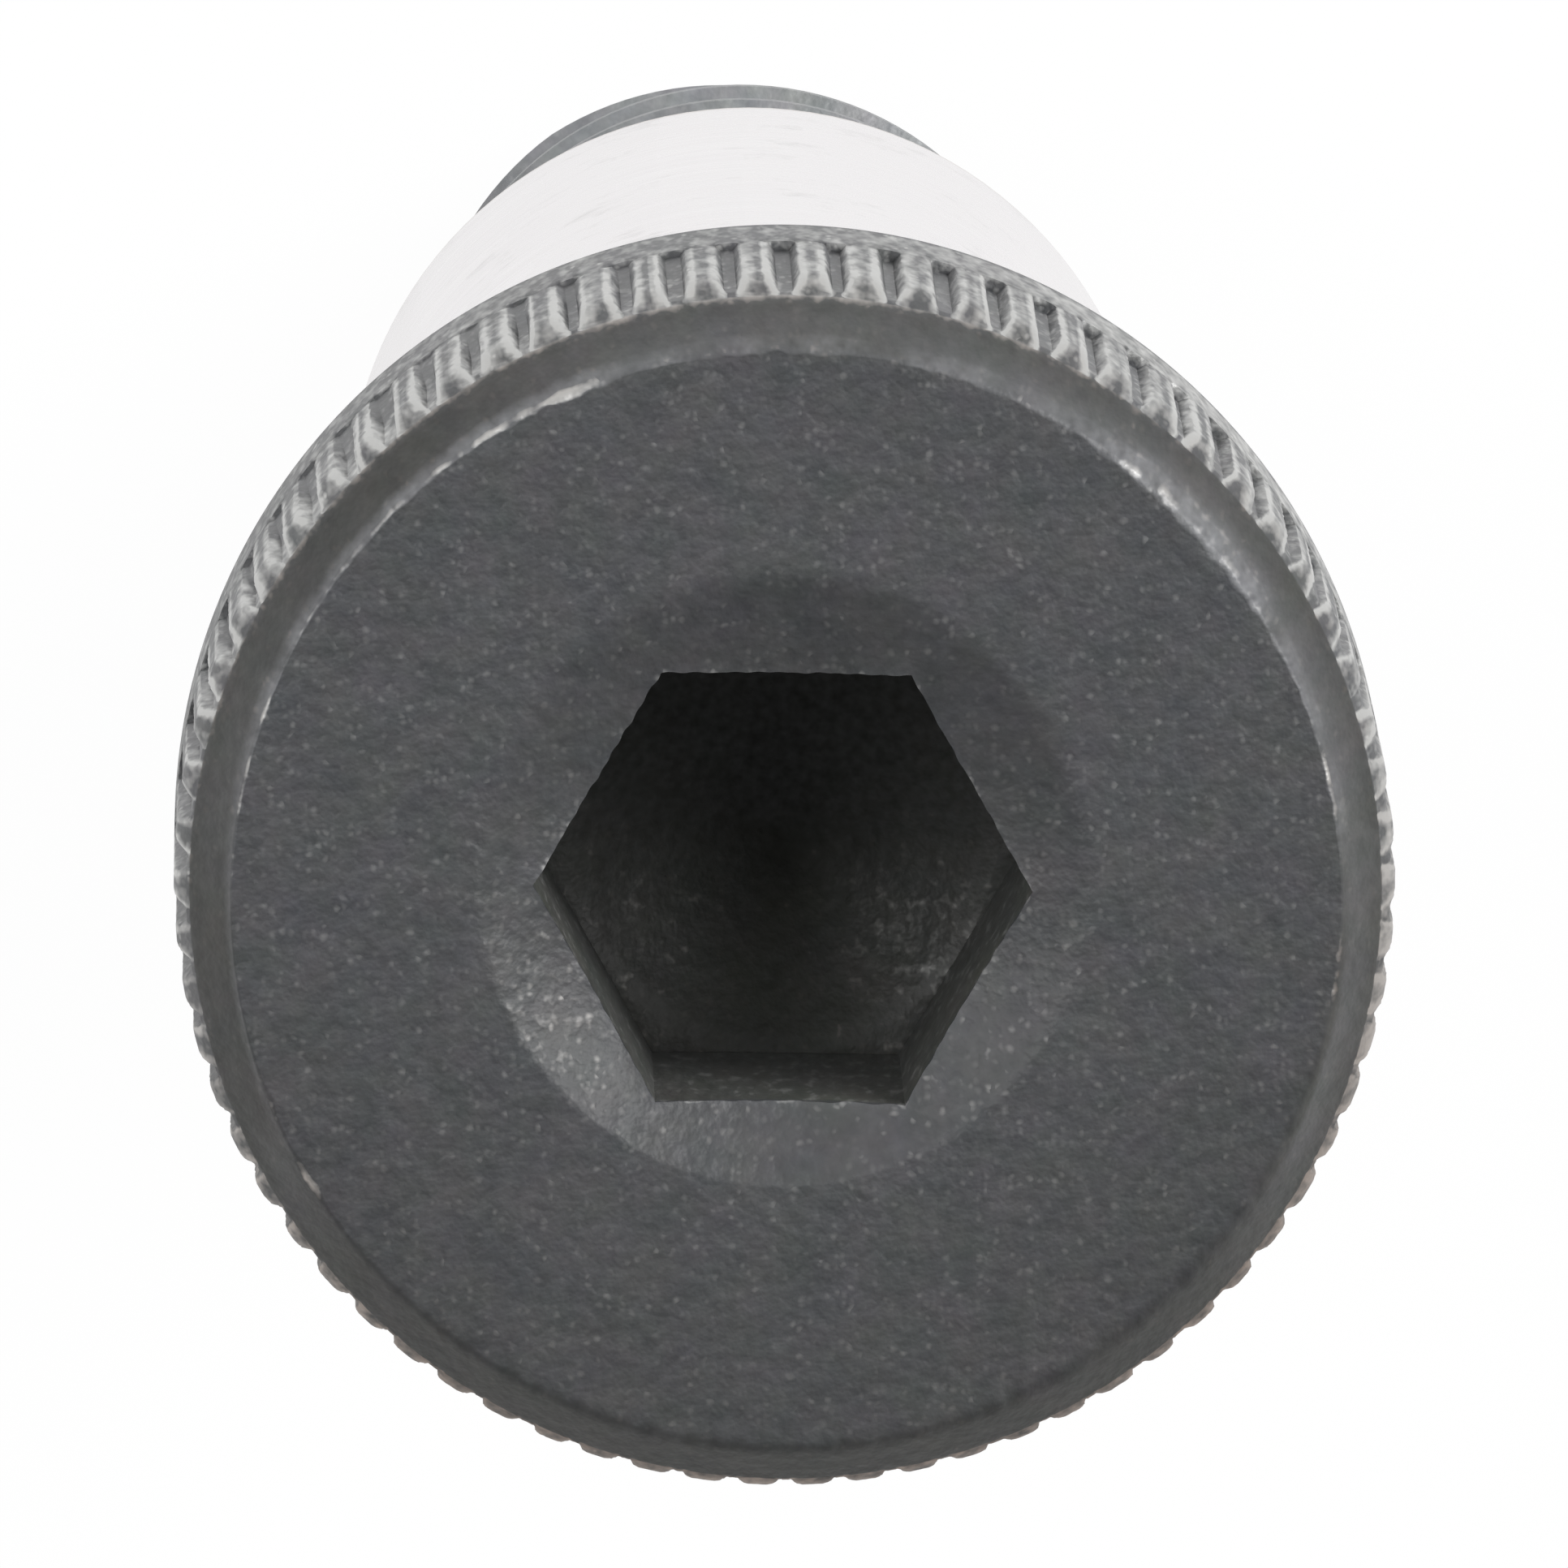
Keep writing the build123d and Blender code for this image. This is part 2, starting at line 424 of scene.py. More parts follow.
# %% Knurl rings
top_column = column_count // 4
knurl_order = (np.arange(column_count) - top_column) % column_count
lead_depths = (0.975, 1.01, 1.04, 1.09, 1.16, 1.25, 1.34, 1.43, 1.54, crest_depth)
land_depths = np.linspace(crest_depth + 0.17, groove_end_depth - 0.03, 14)
for depth in (*lead_depths, *land_depths, groove_end_depth):
    angle, radius = knurl_shape(depth)
    worn, dull = knurl_wear(angle, depth)
    angle, radius, worn, dull = (values.ravel()[knurl_order] for values in (angle, radius, worn, dull))
    add_ring(radius, face_height - depth, "black_oxide", angle=angle, worn=worn, dull=dull)
print("with the knurl:", len(rings), "rings")

# %% [markdown]
# ## The plain band, the neck and the shoulder
# Behind the knurl the rings are round again. The shoulder is the bearing surface that another part turns on, so it is
# ground to size and left bright, and a relief neck under the head gives the grinding wheel room to run out. From the
# underside on, fewer columns are enough, so one band on the flat underside joins each seven columns to one.

# %% Plain band and underside
rim_break = 0.06
for height in np.linspace(underside_height + plain_band_width - 0.015, underside_height + 0.25, 5):
    add_ring(head_radius, height, "black_oxide", worn=0.45 + 0.3 * patch(50, 35))
add_ring(head_radius, underside_height + rim_break, "black_oxide", worn=0.3)
add_ring(head_radius - rim_break, underside_height, "black_oxide", worn=0.3)
add_ring(head_radius - 0.3, underside_height, "black_oxide")
head_ring_count = len(rings)
print("head:", head_ring_count, "rings")

# %% Neck and shoulder
head_neck_radius = 7.34 / 2
head_neck_width = 1.9
head_fillet = 0.3
shoulder_edge = 0.15
columns_joined = 7
few_columns = column_count // columns_joined
few_angle = np.arange(few_columns) * 2 * math.pi / few_columns

add_ring(head_neck_radius + head_fillet, underside_height, "black_oxide", angle=few_angle)
for turn in (22, 45, 68, 90):
    turn = math.radians(turn)
    fillet_height = underside_height - head_fillet * (1 - math.cos(turn))
    add_ring(head_neck_radius + head_fillet * (1 - math.sin(turn)), fillet_height, "black_oxide", angle=few_angle)
shoulder_top = underside_height - head_neck_width
shoulder_bottom = shoulder_end_height + shoulder_edge
neck_slope = shoulder_radius - head_neck_radius
add_ring(head_neck_radius, shoulder_top + neck_slope, "black_oxide", angle=few_angle)
add_ring(shoulder_radius - 0.02, shoulder_top + 0.02, "ground_steel", angle=few_angle)
add_ring(shoulder_radius, shoulder_top - 0.04, "ground_steel", angle=few_angle)
for share in np.linspace(0.1, 0.99, 9):
    add_ring(shoulder_radius, shoulder_top + share * (shoulder_bottom - shoulder_top), "ground_steel", angle=few_angle)
add_ring(shoulder_radius - 0.01, shoulder_bottom, "ground_steel", angle=few_angle, dull=0.6)
add_ring(shoulder_radius - shoulder_edge, shoulder_end_height, "ground_steel", angle=few_angle, dull=1.0)
print("to the end of the shoulder:", len(rings), "rings")

# %% [markdown]
# ## The thread
# The thread is a quarter-inch coarse one, with 20 turns to the inch. A helix can be swept along a curve, but its ends
# then need trimming. Here the thread is a grid whose rows climb with the angle, so the crest and the root follow the
# rows exactly, and the grid is cut off at both ends by clamping its height, where the cone of the neck and the cone of
# the point take over from the profile.

# %% Thread form
thread_neck_radius = 4.75 / 2
thread_neck_width = 2.3
thread_fillet = 0.4
thread_point = 0.95
thread_pitch = 25.4 / 20
thread_depth = 0.7424
thread_root_radius = thread_radius - thread_depth
crest_height = shoulder_end_height - thread_neck_width / 2 + thread_pitch / 2
crest_half = 0.0625
profile_turn = np.array([-crest_half, 0.0, crest_half, 0.23, 0.4, 0.5, 0.6, 0.77])
profile_share = np.array([1.0, 1.0, 1.0, 0.5, 0.0, 0.0, 0.0, 0.5])
thread_neck_slope = thread_radius - thread_neck_radius
thread_top = shoulder_end_height - thread_neck_width + thread_neck_slope


def thread_surface(height, angle):
    """The thread's radius at a height and an angle, trimmed by the neck above it and the point below it."""
    turn = (height - crest_height) / thread_pitch - angle / (2 * math.pi)
    turn = (turn + crest_half) % 1 - crest_half
    share = np.interp(turn, np.append(profile_turn, 1 - crest_half), np.append(profile_share, 1.0))
    profile = thread_root_radius + share * (thread_radius - thread_root_radius)
    point = thread_radius - thread_point + height
    neck = thread_neck_radius + thread_top - height
    return np.minimum(np.minimum(profile, point), np.maximum(neck, thread_neck_radius))


print("thread: %.2f mm pitch, %.2f mm deep" % (thread_pitch, thread_depth))

# %% Thread neck and grid
for turn in (90, 60, 30, 0):
    turn = math.radians(turn)
    fillet_height = shoulder_end_height - thread_fillet * (1 - math.sin(turn))
    add_ring(thread_neck_radius + thread_fillet * (1 - math.cos(turn)), fillet_height, "black_thread", angle=few_angle)

turns = np.arange(1, -math.ceil(crest_height / thread_pitch) - 3, -1)
row_starts = np.concatenate([crest_height + (turn + profile_turn[::-1]) * thread_pitch for turn in turns])
thread_rows = []
for start in row_starts:
    height = np.clip(start + few_angle / (2 * math.pi) * thread_pitch, 0, thread_top)
    radius = thread_surface(height, few_angle)
    thread_rows.append(np.stack([radius * np.cos(few_angle), radius * np.sin(few_angle), height], axis=1))
print("thread:", len(thread_rows), "rows of", few_columns)

# %% [markdown]
# ## Joining the rings
# Rings of the same count are joined by four-sided faces. The band on the underside joins seven columns to one with a
# many-sided face, which is safe because that band is flat. A row of the thread ends one pitch above the place where it
# started, so its last face joins the row that is one turn further on. One many-sided face closes each end.

# %% Join the rings of the head and the shoulder
finishes = ["black_oxide", "socket", "ground_steel", "black_thread"]
points = [ring for ring, marks, finish in rings] + thread_rows
all_points = np.concatenate(points)
all_marks = np.concatenate([marks for ring, marks, finish in rings] + [np.zeros((len(row), 3)) for row in thread_rows])
first_index = np.concatenate([[0], np.cumsum([len(ring) for ring in points])])
faces = []
face_finish = []


def join(upper, lower, finish):
    """Join two rings of the same count with four-sided faces."""
    count = len(points[upper])
    a, b = first_index[upper], first_index[lower]
    for i in range(count):
        k = (i + 1) % count
        faces.append((a + i, b + i, b + k, a + k))
        face_finish.append(finish)


for index in range(1, len(rings)):
    finish = finishes.index(rings[index][2])
    if index == head_ring_count:
        a, b = first_index[index - 1], first_index[index]
        for i in range(few_columns):
            many = [a + (columns_joined * i + k) % column_count for k in range(columns_joined, -1, -1)]
            faces.append((*many, b + i, b + (i + 1) % few_columns))
            face_finish.append(finish)
    else:
        join(index - 1, index, finish)
print("head and shoulder:", len(faces), "faces")

# %% Join the thread and close the ends
thread_finish = finishes.index("black_thread")
rows_per_turn = len(profile_turn)
first_row = len(rings)
join(first_row - 1, first_row, thread_finish)
for row in range(first_row, first_row + len(thread_rows) - 1):
    a, b = first_index[row], first_index[row + 1]
    for i in range(few_columns):
        k = (i + 1) % few_columns
        wrap = rows_per_turn if k == 0 else 0
        upper = first_index[max(row - wrap, first_row)] + k
        lower = first_index[max(row + 1 - wrap, first_row)] + k
        faces.append((a + i, b + i, lower, upper))
        face_finish.append(thread_finish)
faces.append(tuple(first_index[0] + i for i in range(column_count)))
face_finish.append(finishes.index("socket"))
last = first_index[len(points) - 1]
faces.append(tuple(last + i for i in reversed(range(few_columns))))
face_finish.append(thread_finish)
print("with the thread:", len(faces), "faces")

# %% [markdown]
# ## The mesh
# The clamping has put some points of the thread on top of each other, so they are merged. Faces that meet at more than
# a given angle keep a sharp edge, as the walls of the socket do, and all others are shaded smooth. The three marks go
# in as attributes of the points, which a material can read by name and which stay with the mesh in any view.

# %% Make the mesh and merge its points
mesh = bpy.data.meshes.new("shoulder_screw_surface")
mesh.from_pydata((all_points / mm_per_m).tolist(), [], faces)
mesh.polygons.foreach_set("material_index", face_finish)
for column, name in enumerate(("worn", "dull", "thin")):
    attribute = mesh.attributes.new(name, "FLOAT", "POINT")
    attribute.data.foreach_set("value", all_marks[:, column].astype(np.float32))

same_place = 1e-7
no_length = 1e-8
shape = bmesh.new()
shape.from_mesh(mesh)
bmesh.ops.remove_doubles(shape, verts=shape.verts, dist=same_place)
bmesh.ops.dissolve_degenerate(shape, edges=shape.edges, dist=no_length)
bmesh.ops.recalc_face_normals(shape, faces=shape.faces)
open_edges = sum(not edge.is_manifold for edge in shape.edges)
volume = shape.calc_volume() * mm_per_m ** 3
shape.to_mesh(mesh)
shape.free()
print("mesh: %d open edges, %.0f cubic mm" % (open_edges, volume))

# %% Shade the screw and put it in the frame
sharp_degrees = 38
mesh.polygons.foreach_set("use_smooth", np.ones(len(mesh.polygons), bool))
mesh.set_sharp_from_angle(angle=math.radians(sharp_degrees))
screw = bpy.data.objects.new("shoulder_screw_visual", mesh)
bpy.context.scene.collection.objects.link(screw)
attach(screw, "root")
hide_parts("shoulder_screw")
mesh.calc_loop_triangles()
print("screw:", len(mesh.loop_triangles), "triangles")

# %% [markdown]
# ## Materials
# One small function adds a shader node, sets its values and links its inputs. Colours are written as sRGB hex values,
# as they are picked from a picture, and turned to linear light. The patterns use the object's own coordinates, scaled
# to millimetres, so a pattern's scale is the number of its features to a millimetre.

# %% Node and colour helpers
def linear(hex_colour):
    """An sRGB hex colour as linear red, green, blue and alpha."""
    parts = [int(hex_colour[i:i + 2], 16) / 255 for i in (1, 3, 5)]
    return [p / 12.92 if p <= 0.04045 else ((p + 0.055) / 1.055) ** 2.4 for p in parts] + [1.0]


def add_node(tree, kind, settings=None, **inputs):
    """Add a node with its settings; an input, named or numbered, is a value or the socket to link it to."""
    node = tree.nodes.new(kind)
    for name, value in (settings or {}).items():
        setattr(node, name, value)
    for name, value in inputs.items():
        socket = node.inputs[int(name[1:])] if name[0] == "_" else node.inputs[name.replace("_", " ")]
        if isinstance(value, bpy.types.NodeSocket):
            tree.links.new(value, socket)
        else:
            socket.default_value = value
    return node


def new_material(name):
    """A material with only an output in its tree."""
    material = bpy.data.materials.new(name)
    material.use_nodes = True
    tree = material.node_tree
    tree.nodes.clear()
    return material, tree, tree.nodes.new("ShaderNodeOutputMaterial")


def millimetres(tree):
    """The object's own coordinates in millimetres."""
    place = add_node(tree, "ShaderNodeTexCoord").outputs["Object"]
    return add_node(tree, "ShaderNodeVectorMath", {"operation": "SCALE"}, _0=place, Scale=float(mm_per_m)).outputs[0]


print("mid grey in linear light: %.3f" % linear("#808080")[0])

# %% [markdown]
# ## Black oxide steel
# Black oxide is magnetite, grown on the steel in a hot salt bath and then oiled. The film is too thin to fill the grain
# of the forged surface, so the eye sees a dull, slightly blue black with soft blotches and fine light specks, where the
# tips of the grain are rubbed bare. On the edges the film is gone and the steel shines through.
#
# The patterns have four sizes. Blotches are half a millimetre wide. Real grain and its tips are a few hundredths of
# a millimetre wide, so here they are drawn about three times coarser to show at all. All of them are drawn about three
# times longer along the axis, because the sides are seen at a slant from above and would look much finer than the
# face. An image texture could hold all this, but a pattern in the object's own coordinates needs no unwrapping.

# %% Patterns of the film
blotches_per_mm = 2.0
grains_per_mm = 6.5
tips_per_mm = 10.0
specks_per_mm = 13.0
axial_squeeze = (1.0, 1.0, 0.3)


def film_patterns(tree):
    """Blotches, grain, finer tips and the cells that hold one speck each."""
    mm = add_node(tree, "ShaderNodeVectorMath", {"operation": "MULTIPLY"}, _0=millimetres(tree),
                  _1=axial_squeeze).outputs[0]
    blotches = add_node(tree, "ShaderNodeTexNoise", None, Vector=mm, Scale=blotches_per_mm, Detail=3.0, Roughness=0.6)
    grain = add_node(tree, "ShaderNodeTexNoise", None, Vector=mm, Scale=grains_per_mm, Detail=2.5, Roughness=0.55)
    tips = add_node(tree, "ShaderNodeTexNoise", None, Vector=mm, Scale=tips_per_mm, Detail=1.0, Roughness=0.5)
    swirl = add_node(tree, "ShaderNodeVectorMath", {"operation": "MULTIPLY_ADD"}, _0=blotches.outputs["Color"],
                     _1=(0.2, 0.2, 0.2), _2=mm).outputs[0]
    cells = add_node(tree, "ShaderNodeTexVoronoi", None, Vector=swirl, Scale=specks_per_mm)
    return blotches, grain.outputs["Fac"], tips.outputs["Fac"], cells


print("specks are up to %.2f mm wide" % (1 / specks_per_mm))

# %% [markdown]
# The film's colour runs between a dark and a light one with the grain and the blotches, and changes to the browner
# black of the bevel where it is dull, which in places is painted shade. Where the film is thin, the grey of the steel
# below comes through on the tips, which in the socket is painted light.

# %% Colour of the film
steel_grey = "#97989b"


def film_colour(tree, patterns, dull, film, bevel):
    """The colour of the film from two pairs of dark and light colours: as it is, and where it is duller, which in
    places is painted shade.
    """
    blotches, grain, tips, cells = patterns
    shade = add_node(tree, "ShaderNodeMath", {"operation": "MULTIPLY_ADD"}, _0=grain, _1=1.6, _2=-0.9).outputs[0]
    shade = add_node(tree, "ShaderNodeMath", {"operation": "MULTIPLY_ADD", "use_clamp": True},
                     _0=blotches.outputs["Fac"], _1=1.2, _2=shade).outputs[0]
    mix = {"data_type": "RGBA"}
    face = add_node(tree, "ShaderNodeMix", mix, _0=shade, _6=linear(film[0]), _7=linear(film[1])).outputs[2]
    side = add_node(tree, "ShaderNodeMix", mix, _0=shade, _6=linear(bevel[0]), _7=linear(bevel[1])).outputs[2]
    colour = add_node(tree, "ShaderNodeMix", mix, _0=dull, _6=face, _7=side).outputs[2]
    colour = add_node(tree, "ShaderNodeMix", {"data_type": "RGBA", "blend_type": "SOFT_LIGHT"}, _0=0.1, _6=colour,
                      _7=blotches.outputs["Color"]).outputs[2]
    thin = add_node(tree, "ShaderNodeAttribute", {"attribute_name": "thin"}).outputs["Fac"]
    thin = add_node(tree, "ShaderNodeMath", {"operation": "MULTIPLY"}, _0=thin, _1=tips).outputs[0]
    return add_node(tree, "ShaderNodeMix", mix, _0=thin, _6=colour, _7=linear(steel_grey)).outputs[2]


print("grey steel:", steel_grey)

# %% [markdown]
# Bare steel shows in two ways. A few cells hold a round speck, which is stronger where the surface is worn and weaker
# where it is dull. And where the film is worn through, the grain decides which spots go first, so an edge breaks up
# into patches. Bare spots are metal in the shader, so they flash where the surface turns to the light.

# %% Bare steel
speck_rarity = 4.5


def bare_steel(tree, patterns, dull, tip_amount):
    """How much of the steel is bare, from 0 to 1."""
    blotches, grain, tips, cells = patterns
    chance = add_node(tree, "ShaderNodeSeparateColor", None, _0=cells.outputs["Color"]).outputs[0]
    chance = add_node(tree, "ShaderNodeMath", {"operation": "POWER"}, _0=chance, _1=speck_rarity).outputs[0]
    speck = add_node(tree, "ShaderNodeMapRange", {"interpolation_type": "SMOOTHSTEP"}, Value=cells.outputs["Distance"],
                     _1=0.05, _2=0.6, _3=tip_amount, _4=0.0).outputs[0]
    worn = add_node(tree, "ShaderNodeAttribute", {"attribute_name": "worn"}).outputs["Fac"]
    clear = add_node(tree, "ShaderNodeMath", {"operation": "MULTIPLY_ADD"}, _0=dull, _1=-0.7, _2=1.0).outputs[0]
    clear = add_node(tree, "ShaderNodeMath", {"operation": "MULTIPLY_ADD"}, _0=worn, _1=6.0, _2=clear).outputs[0]
    speck = add_node(tree, "ShaderNodeMath", {"operation": "MULTIPLY"}, _0=chance, _1=speck).outputs[0]
    speck = add_node(tree, "ShaderNodeMath", {"operation": "MULTIPLY"}, _0=speck, _1=clear).outputs[0]
    rubbed = add_node(tree, "ShaderNodeMath", {"operation": "MULTIPLY_ADD"}, _0=grain, _1=1.0, _2=worn).outputs[0]
    rubbed = add_node(tree, "ShaderNodeMath", {"operation": "MULTIPLY_ADD"}, _0=tips, _1=0.8, _2=rubbed).outputs[0]
    rubbed = add_node(tree, "ShaderNodeMapRange", None, Value=rubbed, _1=1.25, _2=1.9, _3=0.0, _4=0.95).outputs[0]
    return add_node(tree, "ShaderNodeMath", {"operation": "MAXIMUM", "use_clamp": True}, _0=rubbed, _1=speck).outputs[0]


print("one cell in", round(1 / (1 - 0.5 ** (1 / speck_rarity))), "holds a speck of half strength or more")

# %% [markdown]
# The head, the socket and the thread have one film in different colours. In the socket, which handling doesn't reach,
# its specks are fainter, and its film is a little browner and lighter, the lighter part being painted light in its
# shade. The rolled thread looks lighter in the photograph, so its film is painted lighter here, as painted light. The
# oil gives the film a low gloss, which the dull places lack.

# %% Black oxide
brown_steel = "#93857b"
clean_steel = "#c6c6c4"
grain_depth = 0.028


def black_oxide(name, film=("#404143", "#515254"), bevel=("#353533", "#484846"), tip_amount=0.2):
    material, tree, output = new_material(name)
    patterns = film_patterns(tree)
    dull = add_node(tree, "ShaderNodeAttribute", {"attribute_name": "dull"}).outputs["Fac"]
    colour = film_colour(tree, patterns, dull, film, bevel)
    bare = bare_steel(tree, patterns, dull, tip_amount)
    mix = {"data_type": "RGBA"}
    metal = add_node(tree, "ShaderNodeMix", mix, _0=dull, _6=linear(clean_steel), _7=linear(brown_steel)).outputs[2]
    colour = add_node(tree, "ShaderNodeMix", mix, _0=bare, _6=colour, _7=metal).outputs[2]
    rough = add_node(tree, "ShaderNodeMath", {"operation": "MULTIPLY_ADD"}, _0=dull, _1=0.15, _2=0.45).outputs[0]
    gloss = add_node(tree, "ShaderNodeMath", {"operation": "MULTIPLY_ADD"}, _0=dull, _1=-0.3, _2=0.5).outputs[0]
    bump_map = add_node(tree, "ShaderNodeBump", None, Height=patterns[1], Strength=1.0,
                        Distance=grain_depth / mm_per_m).outputs[0]
    shader = add_node(tree, "ShaderNodeBsdfPrincipled", None, Base_Color=colour, Metallic=bare, Roughness=rough,
                      Specular_IOR_Level=gloss, Normal=bump_map)
    tree.links.new(shader.outputs[0], output.inputs[0])
    return material


oxide = black_oxide("black_oxide_forged_steel")
# Painted light: the socket's film is a little lighter than the head's, and the thread's much lighter.
socket_oxide = black_oxide("black_oxide_punched_socket", film=("#454642", "#595a56"), bevel=("#31322d", "#3b3c37"),
                           tip_amount=0.08)
thread_painted_light_oxide = black_oxide("black_oxide_rolled_thread", film=("#7c7e80", "#989a9c"))
print("black oxide: 3 materials of", len(oxide.node_tree.nodes), "nodes")

# %% [markdown]
# ## Ground steel
# The shoulder is ground between wheels, which leaves fine lines round it and a bright, slightly soft reflection. The
# lines are stretched noise: long round the axis and short along it. Real lines are a few micrometres apart, so here
# they are drawn about ten times coarser to show at all. A few dull marks are left by handling, and the edge at the
# shoulder's end has a tan tint.

# %% Ground steel
lines_per_radian = 1.5
lines_per_mm = 14.0
marks_per_mm = 1.1
line_depth = 0.002


def ground_steel(name):
    material, tree, output = new_material(name)
    mm = millimetres(tree)
    split = add_node(tree, "ShaderNodeSeparateXYZ", None, _0=mm)
    around = add_node(tree, "ShaderNodeMath", {"operation": "ARCTAN2"}, _0=split.outputs[1], _1=split.outputs[0])
    lay = add_node(tree, "ShaderNodeCombineXYZ", None, _0=around.outputs[0], _2=split.outputs[2]).outputs[0]
    lines = add_node(tree, "ShaderNodeVectorMath", {"operation": "MULTIPLY"}, _0=lay,
                     _1=(lines_per_radian, 1.0, lines_per_mm)).outputs[0]
    lines = add_node(tree, "ShaderNodeTexNoise", None, Vector=lines, Scale=1.0, Detail=4.0).outputs["Fac"]
    marks = add_node(tree, "ShaderNodeTexNoise", None, Vector=mm, Scale=marks_per_mm, Detail=5.0,
                     Roughness=0.75).outputs["Fac"]
    marks = add_node(tree, "ShaderNodeMapRange", None, Value=marks, _1=0.56, _2=0.75, _3=0.0, _4=0.5).outputs[0]
    mix = {"data_type": "RGBA"}
    colour = add_node(tree, "ShaderNodeMix", mix, _0=marks, _6=linear("#eae7e8"), _7=linear("#b4b1b0")).outputs[2]
    tint = add_node(tree, "ShaderNodeAttribute", {"attribute_name": "dull"}).outputs["Fac"]
    colour = add_node(tree, "ShaderNodeMix", mix, _0=tint, _6=colour, _7=linear("#a8998c")).outputs[2]
    rough = add_node(tree, "ShaderNodeMapRange", None, Value=lines, _1=0.3, _2=0.7, _3=0.2, _4=0.32).outputs[0]
    bump_map = add_node(tree, "ShaderNodeBump", None, Height=lines, Strength=0.2,
                        Distance=line_depth / mm_per_m).outputs[0]
    shader = add_node(tree, "ShaderNodeBsdfPrincipled", None, Base_Color=colour, Metallic=1.0, Roughness=rough,
                      Normal=bump_map)
    tree.links.new(shader.outputs[0], output.inputs[0])
    return material


for material in (oxide, socket_oxide, ground_steel("ground_bright_steel"), thread_painted_light_oxide):
    mesh.materials.append(material)
print("materials:", [material.name for material in mesh.materials])

# %% [markdown]
# ## Floor
# The floor is plain white card, large enough to fill the picture from above. A very bright lamp could make it white
# too, but would wash out the screw. So to the camera and to reflections the card mostly glows a plain white, and it
# keeps a little of its own shading, so the shadow stays on it.

# %% Floor
floor_half = 1.5
floor_mesh = bpy.data.meshes.new("floor_card")
floor_corners = [(x * floor_half, y * floor_half, 0) for x, y in ((-1, -1), (1, -1), (1, 1), (-1, 1))]
floor_mesh.from_pydata(floor_corners, [], [(0, 1, 2, 3)])
floor = bpy.data.objects.new("floor", floor_mesh)
bpy.context.scene.collection.objects.link(floor)

white_share = 0.92
card, tree, output = new_material("white_card")
rays = add_node(tree, "ShaderNodeLightPath").outputs
seen = add_node(tree, "ShaderNodeMath", {"operation": "MAXIMUM"}, _0=rays["Is Camera Ray"], _1=rays["Is Glossy Ray"])
seen = add_node(tree, "ShaderNodeMath", {"operation": "MAXIMUM"}, _0=seen.outputs[0], _1=rays["Is Transmission Ray"])
seen = add_node(tree, "ShaderNodeMath", {"operation": "MULTIPLY"}, _0=seen.outputs[0], _1=white_share)
paper = add_node(tree, "ShaderNodeBsdfDiffuse", None, Color=linear("#bcbcbc"))
glow = add_node(tree, "ShaderNodeEmission", None, Color=(1.0, 1.0, 1.0, 1.0), Strength=1.05)
mixed = add_node(tree, "ShaderNodeMixShader", None, _0=seen.outputs[0], _1=paper.outputs[0], _2=glow.outputs[0])
tree.links.new(mixed.outputs[0], output.inputs[0])
floor_mesh.materials.append(card)
print("floor: a card", 2 * floor_half, "m wide")

# %% [markdown]
# ## Light
# The light is that of a small light tent: bright round the sides and dim overhead, where the camera is, and brighter
# on the far side than on the near one. That is why the face is dark and the knurl bright. A picture of a studio could
# light the world, but a few numbers do the same here. Four soft lamps add to it: a large one from the upper right, a
# weaker one from the left, and two small ones high up, which light the countersink and the floor of the socket.

# %% World
overhead_level = 0.2
side_level = 0.8
world = bpy.data.worlds.new("light_tent")
bpy.context.scene.world = world
world.use_nodes = True
tree = world.node_tree
tree.nodes.clear()
direction = add_node(tree, "ShaderNodeTexCoord").outputs["Generated"]
split = add_node(tree, "ShaderNodeSeparateXYZ", None, _0=direction)
level = add_node(tree, "ShaderNodeMapRange", None, Value=split.outputs[2], _1=0.0, _2=1.0, _3=side_level,
                 _4=overhead_level).outputs[0]
bright_side = add_node(tree, "ShaderNodeVectorMath", {"operation": "DOT_PRODUCT"}, _0=direction,
                       _1=(0.35, 0.94, 0.0)).outputs["Value"]
open_side = add_node(tree, "ShaderNodeMapRange", None, Value=bright_side, _1=-1.0, _2=1.0, _3=0.6, _4=1.3).outputs[0]
level = add_node(tree, "ShaderNodeMath", {"operation": "MULTIPLY"}, _0=level, _1=open_side).outputs[0]
sky = add_node(tree, "ShaderNodeBackground", None, Color=(1.0, 1.0, 1.0, 1.0), Strength=level)
tree.links.new(sky.outputs[0], add_node(tree, "ShaderNodeOutputWorld").inputs[0])
print("light tent:", len(tree.nodes), "nodes")


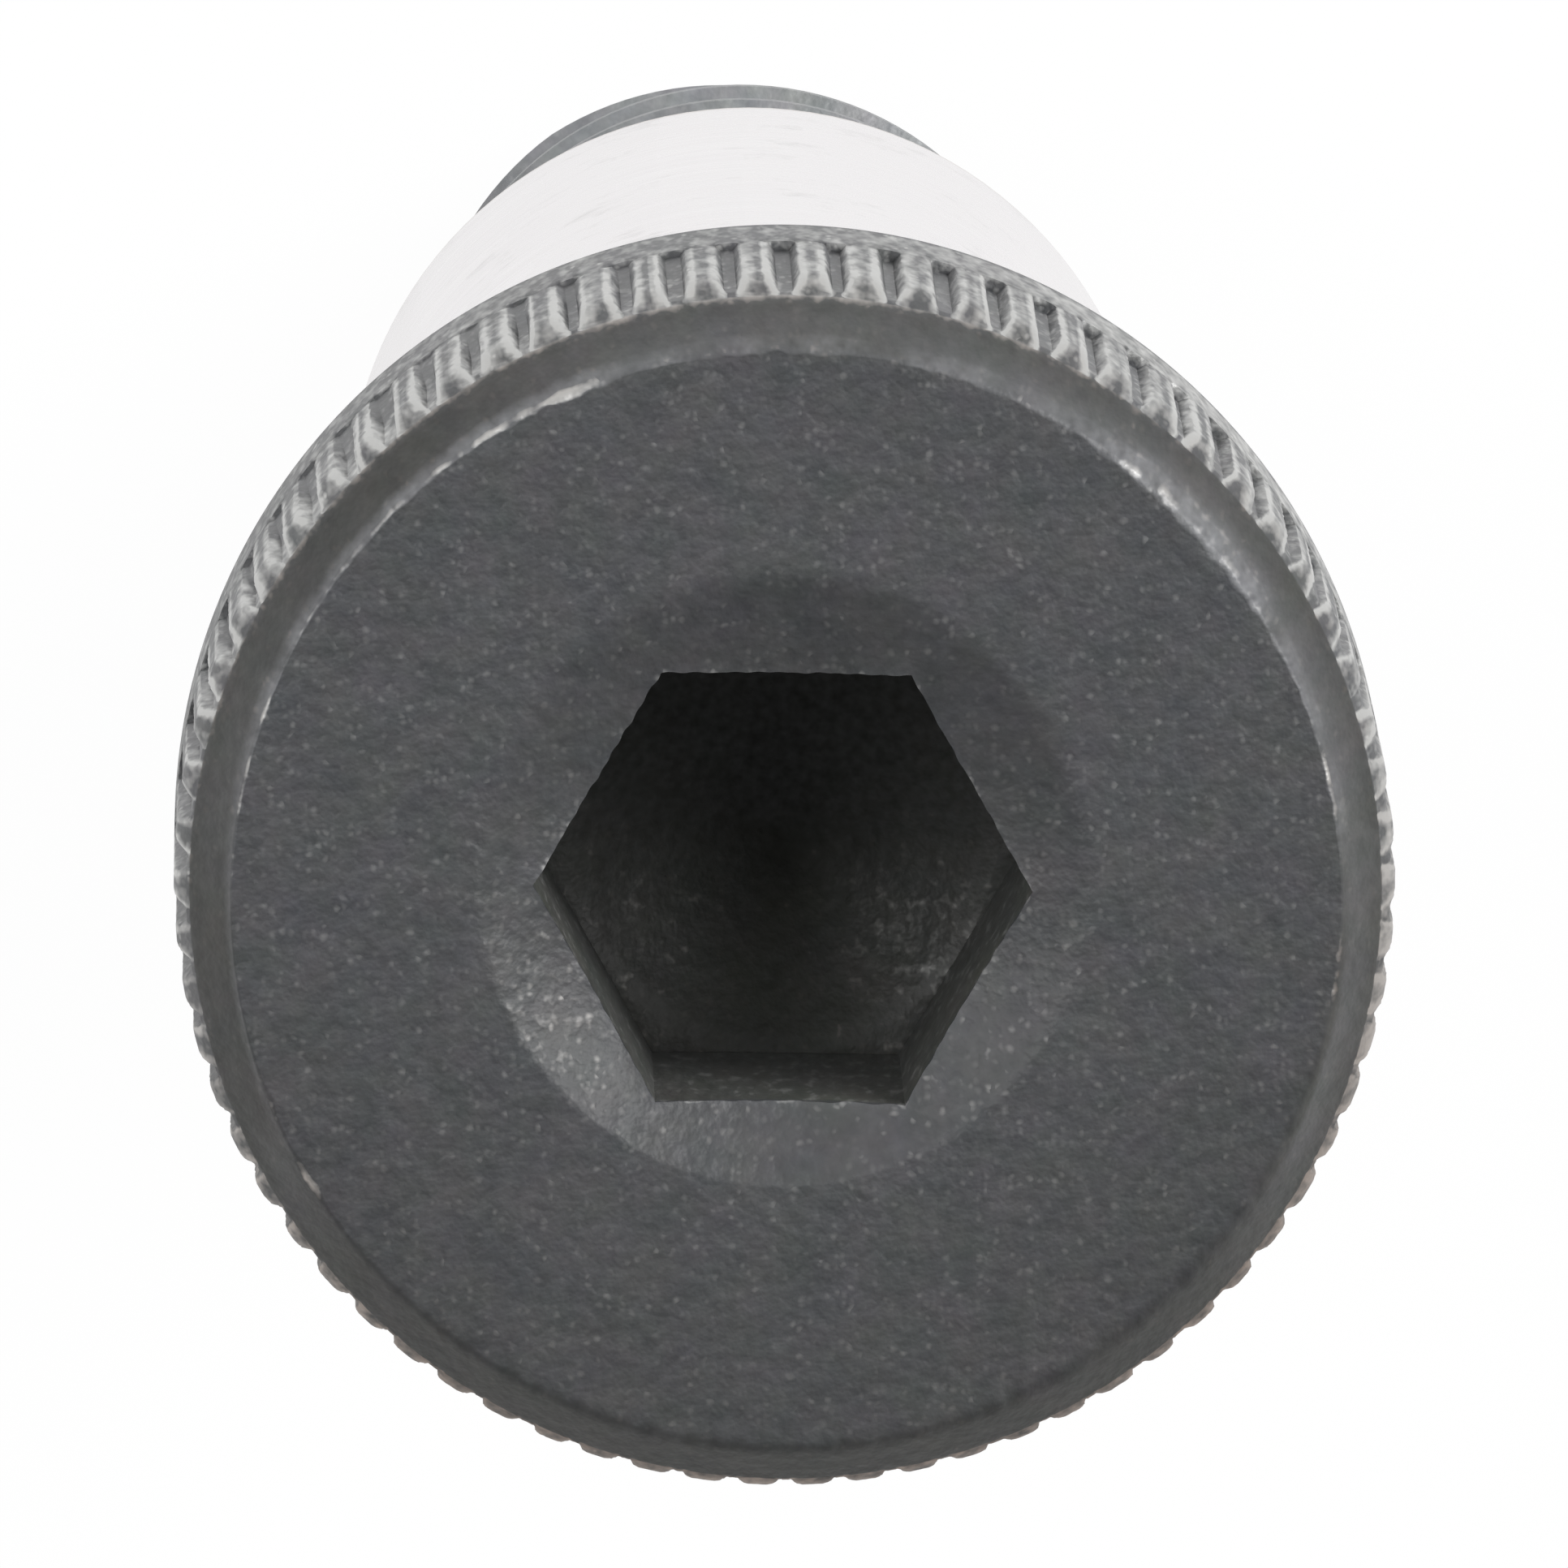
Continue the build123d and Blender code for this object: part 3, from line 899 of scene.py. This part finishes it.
# %% Lamps
def softbox(name, clock_degrees, elevation, distance, size, power):
    """A square lamp aimed at the head, placed clockwise from the top of the picture and up from the floor."""
    lamp = bpy.data.lights.new(name, "AREA")
    lamp.size = size
    lamp.energy = power
    holder = bpy.data.objects.new(name, lamp)
    bpy.context.scene.collection.objects.link(holder)
    around, up = math.radians(90 - clock_degrees), math.radians(elevation)
    away = np.array([math.cos(around) * math.cos(up), math.sin(around) * math.cos(up), math.sin(up)])
    holder.location = away * distance + np.array([0, 0, face_height / mm_per_m])
    holder.rotation_euler = (math.pi / 2 - up, 0, around + math.pi / 2)


softbox("key_softbox", clock_degrees=55, elevation=27, distance=0.35, size=0.16, power=0.82)
softbox("left_softbox", clock_degrees=-65, elevation=25, distance=0.14, size=0.1, power=0.05)
softbox("high_right_softbox", clock_degrees=52, elevation=56, distance=0.055, size=0.02, power=0.0042)
softbox("high_left_softbox", clock_degrees=-60, elevation=56, distance=0.055, size=0.02, power=0.0048)
print("lamps:", [lamp.name for lamp in bpy.data.lights])

# %% [markdown]
# ## Camera
# The photograph was taken with a long lens, from above the head and leaning seven degrees back over it, so that the
# shoulder and a crescent of the thread show behind the head's upper edge. The camera could be placed by eye, but the
# rings of the head, the shoulder and the thread have known sizes and depths, so the lens, the two angles and the way to
# the middle of the face were worked out from them.

# %% Camera
photo_size = 1932
focal_pixels = 51150
lens = bpy.data.cameras.new("camera")
lens.sensor_width = 36.0
lens.lens = focal_pixels / photo_size * lens.sensor_width
lens.clip_start = 0.01
camera = bpy.data.objects.new("camera", lens)
bpy.context.scene.collection.objects.link(camera)
bpy.context.scene.camera = camera
lean = math.radians(-7.03)
sidestep = math.radians(-0.69)
camera.rotation_euler = (lean, sidestep, 0.0)
turn = np.array(camera.rotation_euler.to_matrix())
camera_to_face = np.array([0.0246, -1.056, -375.5])
camera.location = (np.array([0, 0, face_height]) - turn @ camera_to_face) / mm_per_m
bpy.context.scene.view_settings.view_transform = "Standard"
print("camera at", [round(mm_per_m * value, 1) for value in camera.location], "mm, lens %.0f mm" % lens.lens)
